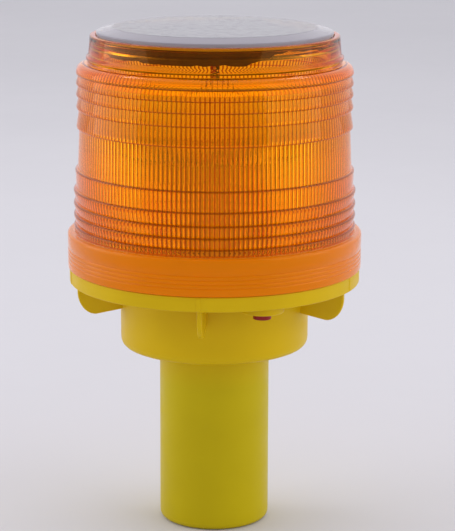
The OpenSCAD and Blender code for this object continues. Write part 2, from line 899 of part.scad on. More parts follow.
// Flat copper ribbons on the panel's underside that end at the two solder pads
module solar_ribbons() {
    color([0.8, 0.78, 0.72])
        on_panel()
            for (side = [-1, 1])
                translate([side * 5.5 - 1.2, -panel_side / 2 + 4, panel_z - 0.3])
                    cube([2.4, panel_side - 8, 0.3]);
}

// One lead of the loosely twisted pair that hangs on the axis below the panel
module solar_lead(phase) {
    wire(helix_path(1.1, 1.1, panel_z - 0.9, control_z + board_t + 6, 3, 12, phase),
        wire_r, wire_sides, [1, 0.02, 0]);
}

module solar_lead_red() {
    color([0.75, 0.06, 0.05])
        solar_lead(0);
}

module solar_lead_black() {
    color([0.06, 0.06, 0.06])
        solar_lead(180);
}

base_housing();
battery_holder();
battery_cell_up();
battery_cell_down();
battery_springs();
battery_plates();
battery_lead_red();
battery_lead_black();
control_board();
control_chip();
charge_capacitor();
boost_inductor();
board_resistors();
housing_screws();
switch_body();
switch_button();
switch_spring();
switch_pins();
switch_lead_red();
switch_lead_black();
deck_plate();
lamp_post();
post_screws();
lamp_board();
lamps();
lamp_pins();
lamp_lead_red();
lamp_lead_black();
lens_gasket();
amber_lens();
cover_adhesive();
top_cover();
solar_board();
solar_cells();
solar_ribbons();
solar_lead_red();
solar_lead_black();
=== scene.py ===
"""Looks of a solar warning light for traffic cones: an amber drum lens on a yellow housing with a stalk."""
import json
import math

import bpy
from mathutils import Matrix, Vector


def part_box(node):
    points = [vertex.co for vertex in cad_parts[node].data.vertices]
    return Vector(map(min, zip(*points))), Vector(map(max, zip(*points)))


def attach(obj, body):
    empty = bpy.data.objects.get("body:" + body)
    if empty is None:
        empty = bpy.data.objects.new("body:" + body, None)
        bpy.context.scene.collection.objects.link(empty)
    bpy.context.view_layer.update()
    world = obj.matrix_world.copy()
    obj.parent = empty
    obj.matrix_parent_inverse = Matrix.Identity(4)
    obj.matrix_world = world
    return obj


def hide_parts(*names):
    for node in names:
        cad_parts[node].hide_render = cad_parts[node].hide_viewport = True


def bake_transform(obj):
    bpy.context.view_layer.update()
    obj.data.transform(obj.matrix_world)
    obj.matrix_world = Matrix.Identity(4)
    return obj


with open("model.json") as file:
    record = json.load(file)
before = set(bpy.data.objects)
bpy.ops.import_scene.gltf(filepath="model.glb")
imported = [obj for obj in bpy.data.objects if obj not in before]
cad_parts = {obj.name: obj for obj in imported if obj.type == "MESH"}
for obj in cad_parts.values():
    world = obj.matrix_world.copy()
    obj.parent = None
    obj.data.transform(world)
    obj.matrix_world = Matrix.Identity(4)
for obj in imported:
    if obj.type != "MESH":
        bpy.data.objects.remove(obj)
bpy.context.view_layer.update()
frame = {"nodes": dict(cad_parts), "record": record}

MM = 0.001

# ---- Sizes, in millimetres, as in the solid model ----

STALK_R = 19.0
CUP_R = 32.5
CUP_Z = 62.6
RIM_Z = 85.5
FLANGE_Z = 90.5
FLANGE_R = 49.9
COLLAR_R = 46.6
COLLAR_Z = 99.7
PLATE_T = 2.4
WALL = 2.2
WING_R = 47.8
WING_DROP = 10.6
WING_T = 1.6
WING_COUNT = 5
WING_PHASE = -96
SWITCH_ANGLE = -67
SWITCH_R = 40.2
BOSS_R = 7.3
BOSS_DROP = 2.7
SPRING_R = 1.8
SPRING_WIRE_R = 0.22
SPRING_TURNS = 3.5
SPRING_LOW_Z = 89.0
SPRING_HIGH_Z = 92.48

THREAD_PITCH = 2.6
THREAD_TURNS = 2.25
THREAD_Z = FLANGE_Z + 1.6

SKIRT_R = 50.4
SKIRT_IN_R = 48.4
SKIRT_Z = FLANGE_Z + 0.2
SKIRT_TOP_Z = SKIRT_Z + 12.3
LEDGE_Z = COLLAR_Z + 1.55
DRUM_IN_R = 44.4
DRUM_FOOT_R = 48.2
DRUM_BAND_R = 46.7
DRUM_TOP_R = 46.8
FOCUS_Z = FLANGE_Z + 41.3
RING_STEPS = (6.8, 13.3, 17.6, 21.4, 25.0)
LOWER_STRETCH = 1.04
RING_DEPTH = 0.9
FLUTES = 180
FLUTE_STEPS = 4
FLUTE_DEPTH = 0.45
NECK_R = 42.2
NECK_Z = 170.0
NECK_IN_R = 40.2
BEAD_R = NECK_R + 1.4
BEAD_Z = NECK_Z - 7.7
ADHESIVE_Z = 168.2
LEDGE_IN_R = 38.8
SEALANT_R = LEDGE_IN_R - 0.15
SEALANT_IN_R = 36.7
SEALANT_DROP = 4.9
SEALANT_HEAVY = math.radians(247)
SEALANT_SPAN = math.radians(52)
SEALANT_FADE = math.radians(16)

COVER_R = 40.1
COVER_Z = 168.7
COVER_FLAT_R = 34.4
COVER_RIM_T = 2.5
COVER_RISE = 1.4

# ---- Colours, linear RGB ----

STALK_YELLOW = (0.62, 0.49, 0.002)
# The housing's yellow with painted orange light from the lens on it.
LENS_LIT_YELLOW = (0.77, 0.52, 0.002)
DRUM_AMBER = (1.0, 0.7, 0.08)
PALE_DRUM_AMBER = (0.97, 0.679, 0.08)
SKIRT_AMBER = (0.9, 0.26, 0.001)
# Painted shade for the flutes' grooves and the rings' steps.
GROOVE_SHADE_AMBER = (0.17, 0.004, 0.0003)
STEP_SHADE_AMBER = (0.28, 0.03, 0.001)
# Colour of the lens's painted glow.
PAINTED_GLOW_AMBER = (1.0, 0.34, 0.0)
SHEEN_AMBER = (1.0, 0.5, 0.15)
ABSORB_COLOUR = (0.98, 0.82, 0.05)
ABSORB_DENSITY = 420
COVER_HAZE = (0.34, 0.31, 0.39)
BEVEL_HAZE = (0.56, 0.53, 0.6)
PAINTED_HIGHLIGHT_EDGE = (1.0, 0.86, 0.86)
SOFT_WHITE = (1.0, 0.985, 1.0)


# ---- Outlines ----

def arc(cx, cy, rx, ry, start, end, steps):
    """Points of an arc between two angles in degrees."""
    angles = [math.radians(start + (end - start) * i / steps) for i in range(steps + 1)]
    return [(cx + rx * math.cos(a), cy + ry * math.sin(a)) for a in angles]


def rounded(corners, steps=4):
    """An open outline from corners (x, y, radius), each corner rounded by an arc of its radius."""
    points = [corners[0][:2]]
    for before, corner, after in zip(corners, corners[1:], corners[2:]):
        here = Vector(corner[:2])
        to_before = Vector(before[:2]) - here
        to_after = Vector(after[:2]) - here
        half = to_before.angle(to_after) / 2
        reach = min(corner[2] / math.tan(half), to_before.length * 0.45, to_after.length * 0.45)
        if corner[2] <= 0 or reach < 0.01:
            points.append(tuple(here))
            continue
        first = here + to_before.normalized() * reach
        last = here + to_after.normalized() * reach
        for i in range(steps + 1):
            t = i / steps
            points.append(tuple(first * (1 - t) ** 2 + here * 2 * t * (1 - t) + last * t * t))
    points.append(corners[-1][:2])
    return points


# ---- Mesh building ----

def make_object(name, vertices, faces, sharp_angle=40):
    """A smooth-shaded mesh object from points in millimetres, with creases sharper than an angle kept."""
    mesh = bpy.data.meshes.new(name)
    mesh.from_pydata([(x * MM, y * MM, z * MM) for x, y, z in vertices], [], faces)
    mesh.validate()
    mesh.update()
    mesh.polygons.foreach_set("use_smooth", [True] * len(mesh.polygons))
    mesh.set_sharp_from_angle(angle=math.radians(sharp_angle))
    piece = bpy.data.objects.new(name, mesh)
    bpy.context.scene.collection.objects.link(piece)
    return piece


def revolve(name, outline, segments, closed=False, shape=None, sharp_angle=40):
    """Turns an outline of (r, z) points about the Z axis. shape(i, angle, r, z) may move a point."""
    vertices = []
    faces = []
    rows = []
    for i, (r, z) in enumerate(outline):
        if r < 1e-6:
            rows.append([len(vertices)] * segments)
            vertices.append((0, 0, z))
            continue
        rows.append(list(range(len(vertices), len(vertices) + segments)))
        for k in range(segments):
            a = 2 * math.pi * k / segments
            rr, zz = shape(i, a, r, z) if shape else (r, z)
            vertices.append((rr * math.cos(a), rr * math.sin(a), zz))
    pairs = list(zip(rows, rows[1:]))
    if closed:
        pairs.append((rows[-1], rows[0]))
    for low, high in pairs:
        for k in range(segments):
            n = (k + 1) % segments
            loop = []
            for v in (low[k], low[n], high[n], high[k]):
                if v not in loop:
                    loop.append(v)
            if len(loop) > 2:
                faces.append(loop)
    return make_object(name, vertices, faces, sharp_angle)


def extrude(name, outline, z0, z1, bevel=0.0, segments=3):
    """A flat outline of (x, y) points raised from z0 to z1, with its edges rounded."""
    n = len(outline)
    vertices = [(x, y, z0) for x, y in outline] + [(x, y, z1) for x, y in outline]
    faces = [list(range(n))[::-1], list(range(n, 2 * n))]
    faces += [[i, (i + 1) % n, n + (i + 1) % n, n + i] for i in range(n)]
    piece = make_object(name, vertices, faces)
    if bevel:
        round_edges(piece, bevel, segments)
    return piece


def round_edges(piece, width, segments=3, angle=30):
    """Rounds a piece's sharp edges and keeps the result in its mesh."""
    bevel = piece.modifiers.new("round", "BEVEL")
    bevel.width = width * MM
    bevel.segments = segments
    bevel.limit_method = "ANGLE"
    bevel.angle_limit = math.radians(angle)
    bevel.harden_normals = False
    settle(piece)


def settle(piece):
    """Applies a piece's modifiers to its mesh."""
    graph = bpy.context.evaluated_depsgraph_get()
    mesh = bpy.data.meshes.new_from_object(piece.evaluated_get(graph))
    old = piece.data
    piece.modifiers.clear()
    piece.data = mesh
    bpy.data.meshes.remove(old)
    piece.data.polygons.foreach_set("use_smooth", [True] * len(piece.data.polygons))
    piece.data.set_sharp_from_angle(angle=math.radians(50))


def place(piece, turn=0.0, move=(0, 0, 0), tilt=None):
    """Moves a piece's mesh: a tilt matrix, then a turn about Z in degrees, then a move in millimetres."""
    matrix = Matrix.Translation(Vector(move) * MM) @ Matrix.Rotation(math.radians(turn), 4, "Z")
    if tilt is not None:
        matrix = matrix @ tilt
    piece.data.transform(matrix)
    return piece


def place_round(piece, radius, degrees):
    """Moves a piece's mesh out to a radius, at an angle about the Z axis."""
    angle = math.radians(degrees)
    return place(piece, move=(radius * math.cos(angle), radius * math.sin(angle), 0))


def join(name, pieces):
    """Joins pieces into one object."""
    for piece in pieces[1:]:
        piece.select_set(False)
    with bpy.context.temp_override(active_object=pieces[0], object=pieces[0],
                                   selected_objects=pieces, selected_editable_objects=pieces):
        bpy.ops.object.join()
    pieces[0].name = name
    pieces[0].data.name = name
    return pieces[0]


# ---- Materials ----

class Finish:
    """A node material around one Principled shader."""

    def __init__(self, name):
        self.material = bpy.data.materials.new(name)
        self.material.use_nodes = True
        self.tree = self.material.node_tree
        self.shader = self.tree.nodes["Principled BSDF"]
        self.coordinates = self.tree.nodes.new("ShaderNodeTexCoord").outputs["Object"]

    def set(self, **values):
        """Sets plain values on the shader's own sockets."""
        for name, value in values.items():
            self.shader.inputs[name.replace("_", " ")].default_value = value

    def link(self, source, socket):
        """Links an output to one of the shader's sockets."""
        self.tree.links.new(source, self.shader.inputs[socket])

    def noise(self, scale, detail=3.0, roughness=0.5, stretch=None):
        """Noise over the object's own coordinates, scale in waves per metre, stretch along the axes."""
        node = self.tree.nodes.new("ShaderNodeTexNoise")
        node.inputs["Scale"].default_value = scale
        node.inputs["Detail"].default_value = detail
        node.inputs["Roughness"].default_value = roughness
        source = self.coordinates
        if stretch:
            mapping = self.tree.nodes.new("ShaderNodeMapping")
            mapping.inputs["Scale"].default_value = stretch
            self.tree.links.new(source, mapping.inputs["Vector"])
            source = mapping.outputs["Vector"]
        self.tree.links.new(source, node.inputs["Vector"])
        return node.outputs["Fac"]

    def spread(self, source, low, high, start=0.35, end=0.65):
        """Maps a value between start and end to low and high."""
        node = self.tree.nodes.new("ShaderNodeMapRange")
        for socket, value in zip(("From Min", "From Max", "To Min", "To Max"), (start, end, low, high)):
            node.inputs[socket].default_value = value
        self.tree.links.new(source, node.inputs["Value"])
        return node.outputs["Result"]

    def mix(self, factor, first, second):
        """Mixes two colours, each given as a colour or as an output, by a factor from 0 to 1."""
        node = self.tree.nodes.new("ShaderNodeMix")
        node.data_type = "RGBA"
        self.tree.links.new(factor, node.inputs["Factor"])
        for socket, colour in (("A", first), ("B", second)):
            if isinstance(colour, tuple):
                node.inputs[socket].default_value = (*colour, 1)
            else:
                self.tree.links.new(colour, node.inputs[socket])
        return node.outputs["Result"]

    def blend(self, source, first, second, start=0.35, end=0.65):
        """Mixes two colours by a value that runs between start and end."""
        return self.mix(self.spread(source, 0, 1, start, end), first, second)

    def height(self):
        """Height above the floor."""
        node = self.tree.nodes.new("ShaderNodeSeparateXYZ")
        self.tree.links.new(self.coordinates, node.inputs["Vector"])
        return node.outputs["Z"]

    def radius(self):
        """Distance from the Z axis."""
        flat = self.tree.nodes.new("ShaderNodeVectorMath")
        flat.operation = "MULTIPLY"
        flat.inputs[1].default_value = (1, 1, 0)
        self.tree.links.new(self.coordinates, flat.inputs[0])
        node = self.tree.nodes.new("ShaderNodeVectorMath")
        node.operation = "LENGTH"
        self.tree.links.new(flat.outputs["Vector"], node.inputs[0])
        return node.outputs["Value"]

    def product(self, first, second):
        """Product of two values."""
        node = self.tree.nodes.new("ShaderNodeMath")
        node.operation = "MULTIPLY"
        self.tree.links.new(first, node.inputs[0])
        self.tree.links.new(second, node.inputs[1])
        return node.outputs["Value"]

    def bump(self, source, height, strength=0.5, previous=None):
        """Bump of a height in metres; several bumps may be chained."""
        node = self.tree.nodes.new("ShaderNodeBump")
        node.inputs["Strength"].default_value = strength
        node.inputs["Distance"].default_value = height
        self.tree.links.new(source, node.inputs["Height"])
        if previous is not None:
            self.tree.links.new(previous, node.inputs["Normal"])
        self.link(node.outputs["Normal"], "Normal")
        return node.outputs["Normal"]


def shade(colour, factor):
    """A lighter or darker colour."""
    return tuple(min(1.0, c * factor) for c in colour)


def mould_skin(finish, roughness, gloss):
    """Dull patches, shallow sinks and a fine grain, as on an opaque moulding."""
    finish.link(finish.spread(finish.noise(160, 5, 0.65), roughness * 0.85, roughness * 1.2), "Roughness")
    sink = finish.bump(finish.noise(60, 2), 0.0002, 0.25)
    finish.bump(finish.noise(2600, 2), 0.00002, 0.35, sink)
    finish.set(IOR=1.5, Specular_IOR_Level=gloss)


def plastic(name, colour, roughness=0.4, variation=0.08, gloss=0.5):
    """Moulded opaque plastic with faint cloudiness."""
    finish = Finish(name)
    dark = shade(colour, 1 - variation)
    pale = shade(colour, 1 + variation)
    finish.link(finish.blend(finish.noise(38, 4), dark, pale), "Base Color")
    mould_skin(finish, roughness, gloss)
    return finish.material


def yellow_plastic(name):
    """The base's moulded plastic: warmer round the housing, with painted orange light from the lens on it.
    """
    finish = Finish(name)
    # Painted light: the housing above the stalk is painted warmer, as if lit by the lens.
    lens_light = finish.blend(finish.height(), STALK_YELLOW, LENS_LIT_YELLOW, 0.05, 0.066)
    cloud = finish.tree.nodes.new("ShaderNodeMix")
    cloud.data_type = "RGBA"
    cloud.blend_type = "MULTIPLY"
    cloud.inputs["Factor"].default_value = 1.0
    finish.tree.links.new(lens_light, cloud.inputs["A"])
    patches = finish.blend(finish.noise(38, 4), (0.94, 0.93, 0.8), (1.0, 1.0, 1.0))
    finish.tree.links.new(patches, cloud.inputs["B"])
    finish.link(cloud.outputs["Result"], "Base Color")
    mould_skin(finish, 0.38, 0.14)
    return finish.material


def lamp_plastic(name):
    """The lamps' see-through resin, with faint flow marks and a fine haze."""
    finish = Finish(name)
    tint = (0.98, 0.85, 0.6)
    finish.link(finish.blend(finish.noise(30, 3), shade(tint, 0.97), shade(tint, 1.03)), "Base Color")
    finish.link(finish.spread(finish.noise(420, 5, 0.7), 0.03, 0.08), "Roughness")
    finish.bump(finish.noise(24, 2), 0.0003, 0.12)
    finish.set(IOR=1.5, Transmission_Weight=1.0)
    return finish.material


def cover_plastic(name):
    """Clear plastic with a slight haze, more of it on the bevel, and a painted highlight round its foot,
    pale and less clear.
    """
    finish = Finish(name)
    radius = finish.radius()
    bevel = finish.spread(radius, 0, 1, (COVER_FLAT_R - 0.3) * MM, (COVER_FLAT_R + 0.5) * MM)
    low = finish.spread(finish.height(), 1, 0, (COVER_Z + 0.5) * MM, (COVER_Z + 0.8) * MM)
    # Mask of the painted highlight line round the cover's foot.
    edge = finish.product(low, finish.spread(radius, 0, 1, (COVER_R - 0.3) * MM, (COVER_R - 0.2) * MM))
    cloud = finish.noise(30, 3)
    flat = finish.blend(cloud, shade(COVER_HAZE, 0.97), shade(COVER_HAZE, 1.03))
    finish.link(finish.mix(edge, finish.mix(bevel, flat, BEVEL_HAZE), PAINTED_HIGHLIGHT_EDGE), "Base Color")
    clear = finish.product(finish.spread(bevel, 0.72, 0.45, 0, 1), finish.spread(edge, 1.0, 0.1, 0, 1))
    finish.link(clear, "Transmission Weight")
    finish.link(finish.spread(finish.noise(420, 5, 0.7), 0.08, 0.2), "Roughness")
    finish.bump(finish.noise(24, 2), 0.0003, 0.12)
    finish.set(IOR=1.38)
    return finish.material


def amber_plastic(name):
    """Tinted plastic with a faint painted glow, deeper in colour where it is thicker, with a milky skirt.

    The flutes' grooves and the rings' steps carry painted shade in a darker amber, and the painted glow
    nearly fades out on the neck.
    """
    finish = Finish(name)
    height = finish.height()
    radius = finish.radius()
    cloud = finish.noise(30, 3)
    drum = finish.blend(cloud, PALE_DRUM_AMBER, DRUM_AMBER)
    skirt = finish.blend(cloud, SKIRT_AMBER, shade(SKIRT_AMBER, 0.94))
    # Painted shade: a dark amber in the grooves between the flutes, which also keeps the painted glow out
    # of them.
    deep = finish.spread(radius, 0, 1, (DRUM_IN_R - 0.375) * MM, (DRUM_IN_R - 0.2) * MM)
    inside = finish.spread(radius, 1, 0, (DRUM_IN_R + 0.3) * MM, (DRUM_IN_R + 0.5) * MM)
    groove = finish.product(deep, inside)
    above_skirt = finish.spread(height, 0, 1, SKIRT_TOP_Z * MM, (SKIRT_TOP_Z + 0.2) * MM)
    # Painted shade: a darker amber on the rings' steps, marked by the steps attribute.
    steps = finish.tree.nodes.new("ShaderNodeAttribute")
    steps.attribute_name = "steps"
    ringed = finish.mix(finish.spread(steps.outputs["Fac"], 0, 1, 0.3, 0.7), drum, STEP_SHADE_AMBER)
    fluted = finish.mix(groove, ringed, GROOVE_SHADE_AMBER)
    finish.link(finish.mix(above_skirt, skirt, fluted), "Base Color")
    finish.link(finish.spread(above_skirt, 0.34, 1.0, 0, 1), "Transmission Weight")
    satin = finish.spread(finish.noise(420, 5, 0.7), 0.04, 0.09)
    finish.link(finish.product(satin, finish.spread(above_skirt, 1.0, 0.25, 0, 1)), "Roughness")
    finish.bump(finish.noise(24, 2), 0.0003, 0.02)
    finish.set(IOR=1.49, Specular_Tint=(*SHEEN_AMBER, 1), Emission_Color=(*PAINTED_GLOW_AMBER, 1))
    # Painted light: a faint orange glow over the drum, fading out on the neck and kept out of the grooves.
    neck_z = (BEAD_Z - 1.6) * MM
    painted_glow = finish.spread(height, 0.085, 0.004, neck_z, neck_z + 2 * MM)
    finish.link(finish.product(painted_glow, finish.spread(groove, 1.0, 0.2, 0, 1)), "Emission Strength")
    finish.material.cycles.emission_sampling = "NONE"

    # One absorption for the whole moulding, so that its colour deepens with its thickness.
    absorb = finish.tree.nodes.new("ShaderNodeVolumeAbsorption")
    absorb.inputs["Color"].default_value = (*ABSORB_COLOUR, 1)
    absorb.inputs["Density"].default_value = ABSORB_DENSITY
    finish.tree.links.new(absorb.outputs["Volume"], finish.tree.nodes["Material Output"].inputs["Volume"])
    return finish.material


def metal(name, colour, roughness=0.3):
    """Plated metal with fine drawing marks and dull spots."""
    finish = Finish(name)
    finish.link(finish.blend(finish.noise(900, 4), shade(colour, 0.8), shade(colour, 1.08)), "Base Color")
    finish.link(finish.spread(finish.noise(2500, 3), roughness * 0.7, roughness * 1.4), "Roughness")
    finish.bump(finish.noise(3000, 2, stretch=(1, 1, 0.1)), 0.00001, 0.4)
    finish.set(Metallic=1.0)
    return finish.material


def rubber(name, colour, roughness=0.6):
    """Soft rubber or sealant: matte, slightly dusty, with a fine pebbled skin."""
    finish = Finish(name)
    finish.link(finish.blend(finish.noise(300, 5), colour, shade(colour, 1.9)), "Base Color")
    finish.link(finish.spread(finish.noise(700, 3), roughness * 0.8, roughness * 1.2), "Roughness")
    finish.bump(finish.noise(1800, 3), 0.00006, 0.5)
    return finish.material


def solar_silicon(name):
    """Coated silicon with crystal patches."""
    finish = Finish(name)
    crystals = finish.tree.nodes.new("ShaderNodeTexVoronoi")
    crystals.inputs["Scale"].default_value = 260
    finish.tree.links.new(finish.coordinates, crystals.inputs["Vector"])
    finish.link(finish.blend(crystals.outputs["Distance"], (0.004, 0.008, 0.04), (0.012, 0.022, 0.085),
                             0.0, 1.0), "Base Color")
    finish.link(finish.spread(finish.noise(500, 4), 0.12, 0.26), "Roughness")
    finish.bump(finish.noise(1500, 2), 0.00001, 0.3)
    finish.set(Coat_Weight=0.6, Coat_Roughness=0.08)
    return finish.material


# ---- Yellow base ----

def thread_rise(angle, z, start_z, height):
    """Height of a helical ridge at a point, faded in and out over an eighth of a turn."""
    crest = 0.25
    flank = 0.35
    part = angle / (2 * math.pi) % 1.0
    along = round((z - start_z) / THREAD_PITCH - part) + part
    if not 0 < along < THREAD_TURNS:
        return 0.0
    offset = abs(z - start_z - along * THREAD_PITCH)
    wide = min(1.0, max(0.0, (crest + flank - offset) / flank))
    return height * wide * min(1.0, 8 * along, 8 * (THREAD_TURNS - along))


def base_shell():
    """The turned wall of the stalk, housing, flange and threaded collar."""
    cup_in = CUP_R - WALL
    collar_in = COLLAR_R - WALL
    stalk_in = STALK_R - WALL
    plate_z = FLANGE_Z - PLATE_T
    outline = rounded([
        (0, 0, 0), (STALK_R, 0, 2.4), (STALK_R - 0.05, CUP_Z, 0.5), (CUP_R - 0.1, CUP_Z, 3.0),
        (CUP_R, plate_z, 0.8), (FLANGE_R - 2, plate_z, 0.5), (FLANGE_R - 2, RIM_Z, 0.5),
        (FLANGE_R, RIM_Z, 0.5), (FLANGE_R, FLANGE_Z, 0.3), (COLLAR_R, FLANGE_Z, 0.3)], 5)
    rows = 30
    lift = COLLAR_Z - FLANGE_Z - 0.9
    outline += [(COLLAR_R, FLANGE_Z + 0.5 + lift * i / rows) for i in range(rows + 1)]
    outline += rounded([
        (COLLAR_R, COLLAR_Z - 0.3, 0), (COLLAR_R, COLLAR_Z, 0.3), (collar_in, COLLAR_Z, 0.3),
        (collar_in, FLANGE_Z, 0.5), (cup_in, FLANGE_Z, 0.5), (cup_in, CUP_Z + 2.4, 1.0),
        (stalk_in, CUP_Z + 2.4, 0.5), (stalk_in, 2.6, 1.0), (0, 2.6, 0)], 3)

    def shape(i, angle, r, z):
        if abs(r - COLLAR_R) < 0.01 and FLANGE_Z + 0.6 < z < COLLAR_Z - 0.4:
            r += thread_rise(angle, z, THREAD_Z, 1.45)
        return r, z

    return revolve("housing_shell", outline, 288, shape=shape)


def grip_wing(name, angle):
    """One wing plate with a rounded outer corner, soft edges and its strip on the flange rim."""
    low = RIM_Z - WING_DROP
    bend = WING_R - 6.3
    top = FLANGE_Z - PLATE_T + 0.5
    outline = [(CUP_R - 0.6, top), (CUP_R - 0.6, low + 1.5)]
    outline += arc(bend, low + 8, WING_R - bend, 8, -90, 0, 12)
    outline += [(WING_R, RIM_Z + 0.4), (WING_R + 0.6, top)]
    plate = extrude(name, outline, -WING_T / 2, WING_T / 2, 0.45, 4)
    strip = [(FLANGE_R - 1.0, RIM_Z + 0.3), (FLANGE_R + 0.12, RIM_Z + 0.3),
             (FLANGE_R + 0.12, FLANGE_Z - 0.4), (FLANGE_R - 1.0, FLANGE_Z - 0.4)]
    band = extrude(name + "_band", strip, -WING_T / 2, WING_T / 2, 0.1, 3)
    wing = join(name, [plate, band])
    return place(wing, angle, tilt=Matrix.Rotation(math.radians(90), 4, "X"))


def switch_boss():
    """Round boss under the flange with the button's hole."""
    hole_r = 3.15
    low = RIM_Z - BOSS_DROP
    top = FLANGE_Z - PLATE_T + 0.4
    outline = rounded([
        (hole_r, low + 4, 0), (hole_r, low, 0.25), (BOSS_R, low, 0.7), (BOSS_R, top, 0),
        (hole_r, top, 0)], 4)
    return place_round(revolve("switch_boss", outline, 64, closed=True), SWITCH_R, SWITCH_ANGLE)


def inner_posts():
    """The screw posts inside the housing, each with its blind hole."""
    hole_r = 1.35
    posts = []
    # Each group: distance from the axis, post radius, foot and top heights, angles.
    groups = [(38.0, 3.5, FLANGE_Z - 0.4, FLANGE_Z + 6, (0, 120, 240)),
              (25.0, 3.2, CUP_Z + 2.0, CUP_Z + 12.4, (90, 210, 330)),
              (22.0, 3.2, CUP_Z + 2.0, CUP_Z + 6.4, (0, 180))]
    for radius, r, low, high, angles in groups:
        outline = rounded([(0, low, 0), (r + 0.15, low, 0), (r, high, 0.3), (hole_r, high, 0.15),
                           (hole_r, high - 3.6, 0), (0, high - 3.6, 0)], 2)
        for angle in angles:
            posts.append(place_round(revolve(f"post_{len(posts)}", outline, 32), radius, angle))
    return join("inner_posts", posts)


def push_button():
    """Red button cap with a dished end, its retaining flange and stem."""
    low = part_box("switch_button")[0].z / MM
    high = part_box("switch_button")[1].z / MM
    flange = RIM_Z - BOSS_DROP + 1.9
    outline = rounded([
        (0, low + 0.25, 0), (2.0, low + 0.1, 0.8), (2.45, low, 0.2), (3.0, low, 0.45), (3.0, flange, 0),
        (3.8, flange, 0.1), (3.8, flange + 0.7, 0.1), (1.4, flange + 0.7, 0.1), (1.4, high - 0.6, 0),
        (2.1, high - 0.6, 0), (2.1, high, 0), (0, high, 0)], 4)
    return place_round(revolve("push_button", outline, 64), SWITCH_R, SWITCH_ANGLE)


def return_spring():
    """The coil spring behind the push button, wound close at both ends."""
    steps = 140
    sides = 8
    closing = 0.06
    low = SPRING_LOW_Z + SPRING_WIRE_R
    rise = SPRING_HIGH_Z - SPRING_LOW_Z - 2 * SPRING_WIRE_R
    vertices = []
    for i in range(steps + 1):
        part = i / steps
        angle = 2 * math.pi * SPRING_TURNS * part
        z = low + rise * (part - closing * math.sin(2 * math.pi * part))
        for k in range(sides):
            turn = 2 * math.pi * k / sides
            r = SPRING_R + SPRING_WIRE_R * math.cos(turn)
            vertices.append((r * math.cos(angle), r * math.sin(angle), z + SPRING_WIRE_R * math.sin(turn)))
    faces = []
    for i in range(steps):
        for k in range(sides):
            a = i * sides + k
            b = i * sides + (k + 1) % sides
            faces.append([a, a + sides, b + sides, b])
    faces.append(list(range(sides)))
    faces.append([steps * sides + k for k in reversed(range(sides))])
    return place_round(make_object("return_spring", vertices, faces, 60), SWITCH_R, SWITCH_ANGLE)


# ---- Amber lens ----

def ring_tip(z):
    """Radius of the lens rings' tips, which grow towards the foot of the drum."""
    if z > FOCUS_Z:
        return DRUM_TOP_R + 0.2
    return DRUM_BAND_R + (DRUM_FOOT_R - DRUM_BAND_R) * min(1.0, (FOCUS_Z - z) / 12)


def ring_outline(side, step):
    """One lens ring: a step that faces the middle of the drum, a round nose, and the start of its slope."""
    z = FOCUS_Z + side * step * (LOWER_STRETCH if side < 0 else 1)
    tip = ring_tip(z)
    offsets = ((-RING_DEPTH, -0.1), (-0.3, 0.05), (-0.06, 0.3), (0, 0.7), (-0.1, 1.2))
    points = [(tip + dr, z + side * dz) for dr, dz in offsets]
    return points if side > 0 else points[::-1]


def on_step(r, z):
    """1 on the step of a lens ring, where the lens has painted shade, 0 elsewhere."""
    step_heights = [FOCUS_Z - step * LOWER_STRETCH for step in RING_STEPS]
    step_heights += [FOCUS_Z + step for step in RING_STEPS]
    return float(r > ring_tip(z) - 0.5 and any(abs(z - step_z) < 0.35 for step_z in step_heights))


def lens_outer():
    """Outer edge of the lens from the skirt's foot to the neck's top, with fine grooves round the skirt."""
    shoulder_z = FOCUS_Z + RING_STEPS[-1] + 1.4
    points = rounded([(SKIRT_IN_R, SKIRT_Z, 0), (SKIRT_R, SKIRT_Z, 0.25), (SKIRT_R, SKIRT_Z + 2, 0)], 3)[1:]
    for groove in range(4):
        z = SKIRT_Z + 2.6 + 1.4 * groove
        points += [(SKIRT_R, z - 0.25), (SKIRT_R - 0.2, z), (SKIRT_R, z + 0.25)]
    points += rounded([(SKIRT_R, SKIRT_TOP_Z - 3, 0), (SKIRT_R, SKIRT_TOP_Z, 1.5),
                       (DRUM_FOOT_R, SKIRT_TOP_Z, 0.3), (DRUM_FOOT_R - 0.1, SKIRT_TOP_Z + 0.8, 0)], 3)
    for step in reversed(RING_STEPS):
        points += ring_outline(-1, step)
    for step in RING_STEPS:
        points += ring_outline(1, step)
    points += arc(NECK_R + 1, shoulder_z, DRUM_TOP_R - NECK_R - 1, BEAD_Z - 1.6 - shoulder_z, 12, 90, 5)
    points += arc(BEAD_R - 1, BEAD_Z, 1, 1, -60, 60, 4)
    points += rounded([(NECK_R + 0.5, BEAD_Z + 1.5, 0), (NECK_R, NECK_Z, 0.6),
                       (NECK_IN_R + 0.1, NECK_Z, 0.2), (NECK_IN_R + 0.1, ADHESIVE_Z, 0)], 3)
    return points


def lens_inner():
    """Inner edge of the lens from the cover's seat down to the skirt's foot."""
    points = rounded([
        (NECK_IN_R + 0.1, ADHESIVE_Z, 0), (LEDGE_IN_R, ADHESIVE_Z, 0.2),
        (LEDGE_IN_R, ADHESIVE_Z - 1.6, 0.4), (NECK_IN_R, ADHESIVE_Z - 2.8, 0.5),
        (NECK_IN_R, NECK_Z - 10.5, 2.0), (DRUM_IN_R, NECK_Z - 15.5, 1.0),
        (DRUM_IN_R, LEDGE_Z + 1, 0)], 2)[1:]
    points += [(DRUM_IN_R, LEDGE_Z + 0.4), (DRUM_IN_R + 0.1, LEDGE_Z), (SKIRT_IN_R - 0.2, LEDGE_Z)]
    rows = 20
    drop = LEDGE_Z - SKIRT_Z - 0.8
    points += [(SKIRT_IN_R, LEDGE_Z - 0.3 - drop * i / rows) for i in range(rows + 1)]
    return points


